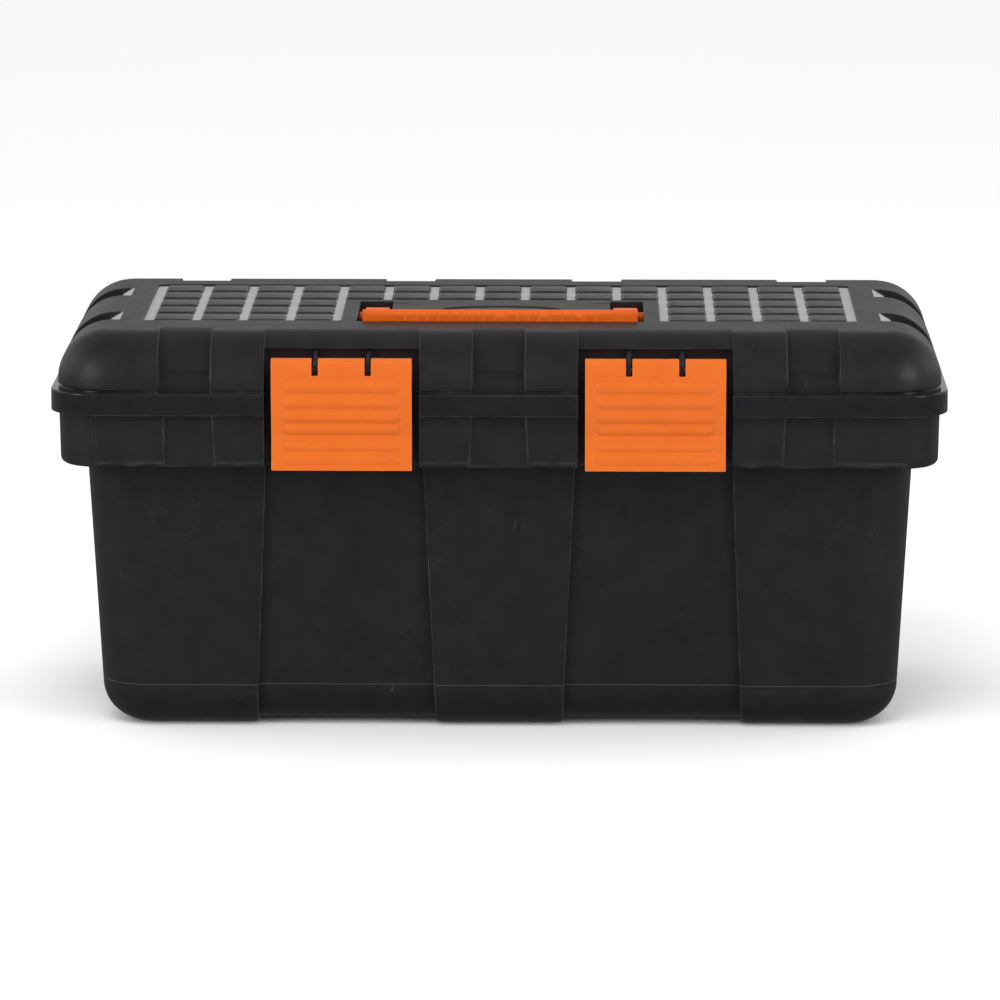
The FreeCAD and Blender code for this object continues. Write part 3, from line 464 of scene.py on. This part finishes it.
def tread_tree():
    """Geometry nodes: a field of low blocks with rounded shoulders, with a gap for the handle."""
    tree = bpy.data.node_groups.new("tread blocks", "GeometryNodeTree")
    face = tree.interface
    named = (("Pitch", "Float", TREAD_PITCH), ("Foot", "Float", TREAD_FOOT), ("Height", "Float", TREAD_SINK),
             ("Corner", "Float", 1.3 * MM), ("Columns", "Int", TREAD_COLUMNS), ("Rows", "Int", TREAD_ROWS),
             ("Gap Half Width", "Float", TREAD_GAP_X), ("Gap Back", "Float", TREAD_GAP_Y),
             ("Back", "Float", TREAD_BACK), ("Top", "Float", LID_TOP), ("Finish", "Material", None))
    for label, kind, default in named:
        socket = face.new_socket(label, in_out="INPUT", socket_type="NodeSocket" + kind)
        if default is not None:
            socket.default_value = default
    face.new_socket("Mesh", in_out="OUTPUT", socket_type="NodeSocketGeometry")
    given = tree.nodes.new("NodeGroupInput").outputs
    out = tree.nodes.new("NodeGroupOutput").inputs

    # a field of points, one for each block, without those that stand in the handle's gap
    wide = maths(tree, "MULTIPLY", maths(tree, "SUBTRACT", given["Columns"], 1), given["Pitch"])
    deep = maths(tree, "MULTIPLY", maths(tree, "SUBTRACT", given["Rows"], 1), given["Pitch"])
    field = node_in(tree, "GeometryNodeMeshGrid", inputs={"Size X": wide, "Size Y": deep,
                                                          "Vertices X": given["Columns"],
                                                          "Vertices Y": given["Rows"]})
    half_deep = maths(tree, "MULTIPLY", maths(tree, "MULTIPLY", given["Rows"], given["Pitch"]), 0.5)
    centre_y = maths(tree, "SUBTRACT", given["Back"], half_deep)
    foot_z = maths(tree, "SUBTRACT", given["Top"], given["Height"])
    shift = node_in(tree, "ShaderNodeCombineXYZ", inputs={"Y": centre_y, "Z": foot_z})
    moved = node_in(tree, "GeometryNodeTransform", inputs={"Geometry": field.outputs[0],
                                                           "Translation": shift.outputs[0]})
    spot = node_in(tree, "ShaderNodeSeparateXYZ",
                   inputs={0: node_in(tree, "GeometryNodeInputPosition").outputs[0]}).outputs
    aside = maths(tree, "LESS_THAN", maths(tree, "ABSOLUTE", spot["X"]), given["Gap Half Width"])
    in_front = maths(tree, "LESS_THAN", spot["Y"], given["Gap Back"])
    by_handle = maths(tree, "MULTIPLY", aside, in_front)
    kept = node_in(tree, "GeometryNodeDeleteGeometry",
                   inputs={"Geometry": moved.outputs[0], "Selection": by_handle})

    # one block: a rounded square, drawn up in steps that come in faster near the top
    outline = node_in(tree, "GeometryNodeCurvePrimitiveQuadrilateral",
                      inputs={"Width": given["Foot"], "Height": given["Foot"]})
    rounded = node_in(tree, "GeometryNodeFilletCurve", mode="POLY",
                      inputs={"Curve": outline.outputs[0], "Radius": given["Corner"], "Count": 3})
    plate = node_in(tree, "GeometryNodeFillCurve", inputs={"Curve": rounded.outputs[0]}, mode="NGONS")
    shape, chosen = plate.outputs[0], True
    for rise, width in ((0.70, 0.945), (0.17, 0.978), (0.09, 0.975), (0.04, 0.965)):
        step = maths(tree, "MULTIPLY", given["Height"], rise)
        drawn = node_in(tree, "GeometryNodeExtrudeMesh", inputs={"Mesh": shape, "Offset Scale": step})
        link(tree, chosen, drawn.inputs["Selection"])
        shape, chosen = drawn.outputs["Mesh"], drawn.outputs["Top"]
        shape = node_in(tree, "GeometryNodeScaleElements",
                        inputs={"Geometry": shape, "Selection": chosen, "Scale": width}).outputs[0]
    placed = node_in(tree, "GeometryNodeInstanceOnPoints",
                     inputs={"Points": kept.outputs[0], "Instance": shape})
    real = node_in(tree, "GeometryNodeRealizeInstances", inputs={0: placed.outputs[0]})
    smooth = node_in(tree, "GeometryNodeSetShadeSmooth", inputs={"Geometry": real.outputs[0]})
    finished = node_in(tree, "GeometryNodeSetMaterial",
                       inputs={"Geometry": smooth.outputs[0], "Material": given["Finish"]})
    link(tree, finished.outputs[0], out[0])
    return tree


def set_input(modifier, label, value):
    """Sets a geometry nodes input by the identifier of its socket."""
    for item in modifier.node_group.interface.items_tree:
        if item.item_type == "SOCKET" and item.in_out == "INPUT" and item.name == label:
            modifier[item.identifier] = value


def tread_blocks():
    """The raised blocks of the lid's tread, standing on its sunk floor."""
    piece = bpy.data.objects.new("tread_blocks", bpy.data.meshes.new("tread_blocks"))
    bpy.context.scene.collection.objects.link(piece)
    modifier = piece.modifiers.new("tread blocks", "NODES")
    modifier.node_group = tread_tree()
    set_input(modifier, "Finish", tread_plastic)
    mesh = plain_mesh(piece)
    mark_edges(mesh)
    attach(piece, "lid")
    return piece


eased("base_tub", "tub", "base", 0.6 * MM, [tub_plastic])
eased("lid_shell", "lid", "lid", 0.5 * MM, [lid_plastic, tread_floor_painted_sheen], change=clear_treads)
tread_blocks()
eased("handle", "carry_handle", "handle", 0.15 * MM, [handle_plastic], dissolve=0.05)
eased("latch_left", "left_latch", "latch_left", 0.35 * MM, [latch_plastic], dissolve=0.05,
      sharp=16)
eased("latch_right", "right_latch", "latch_right", 0.35 * MM, [latch_plastic],
      dissolve=0.05, sharp=16)
eased("tray", "lift_out_tray", "tray", 0.4 * MM, [tray_plastic])
for node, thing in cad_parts.items():
    if "pin" in node or "divider" in node:
        thing.data.materials.clear()
        thing.data.materials.append(pin_steel if "pin" in node else tray_plastic)


# ---------------------------------------------------------------- studio
def area_light(name, place, aim, size, power):
    """Soft rectangular light at place, turned to aim."""
    data = bpy.data.lights.new(name, "AREA")
    data.shape = "RECTANGLE"
    data.size, data.size_y = size
    data.energy = power
    lamp = bpy.data.objects.new(name, data)
    bpy.context.scene.collection.objects.link(lamp)
    lamp.location = place
    lamp.rotation_euler = (Vector(aim) - Vector(place)).to_track_quat("-Z", "Y").to_euler()
    return lamp


def surround():
    """White surround that the gloss of the plastics sees dimmer in front, overhead and below the floor."""
    world = bpy.data.worlds.new("studio")
    bpy.context.scene.world = world
    world.use_nodes = True
    tree = world.node_tree
    way = node_in(tree, "ShaderNodeTexCoord").outputs["Generated"]
    split = node_in(tree, "ShaderNodeSeparateXYZ", inputs={0: way}).outputs
    level = ramp(tree, split["Y"], -0.3, 0.8, 0.2, 0.7)
    level = maths(tree, "MULTIPLY", level, ramp(tree, split["Z"], 0.15, 0.7, 1.0, 0.3))
    level = maths(tree, "MULTIPLY", level, ramp(tree, split["Z"], -0.12, 0.02, 0.25, 1.0))
    glossy = node_in(tree, "ShaderNodeLightPath").outputs["Is Glossy Ray"]
    level = maths(tree, "MAXIMUM", level, maths(tree, "SUBTRACT", 1.0, glossy))
    link(tree, level, tree.nodes["Background"].inputs["Strength"])
    tree.nodes["Background"].inputs["Color"].default_value = (1, 1, 1, 1)


def studio():
    """Pale floor, soft lights from above and from both ends."""
    surround()
    mesh = bpy.data.meshes.new("floor")
    mesh.from_pydata([(-6, -6, 0), (6, -6, 0), (6, 6, 0), (-6, 6, 0)], [], [(0, 1, 2, 3)])
    floor = bpy.data.objects.new("floor", mesh)
    bpy.context.scene.collection.objects.link(floor)
    mesh.materials.append(floor_white("floor white"))
    floor.visible_glossy = False
    area_light("left", (-1.9, -1.5, 1.0), (0, 0, 0.12), (0.9, 1.3), 14)
    area_light("right", (1.9, -1.5, 1.0), (0, 0, 0.12), (0.9, 1.3), 14)
    area_light("left end", (-1.5, 0.3, 0.8), (0, 0, 0.15), (0.6, 0.9), 1.5)
    area_light("right end", (1.5, 0.3, 0.8), (0, 0, 0.15), (0.6, 0.9), 1.5)
    key = area_light("key", (-0.3, -1.4, 2.3), (0, 0, 0.15), (1.0, 1.0), 17)
    key.visible_glossy = False


def camera():
    """Long lens a little above the box, looking at its front."""
    data = bpy.data.cameras.new("camera")
    data.lens = 219.9
    data.sensor_width = 36.0
    data.clip_end = 50
    view = bpy.data.objects.new("camera", data)
    bpy.context.scene.collection.objects.link(view)
    view.location = (0.0499, -3.454, 0.7704)
    view.rotation_euler = (math.radians(90 - 10.767), 0, math.radians(0.843))
    bpy.context.scene.camera = view
    bpy.context.scene.view_settings.view_transform = "Standard"


studio()
camera()
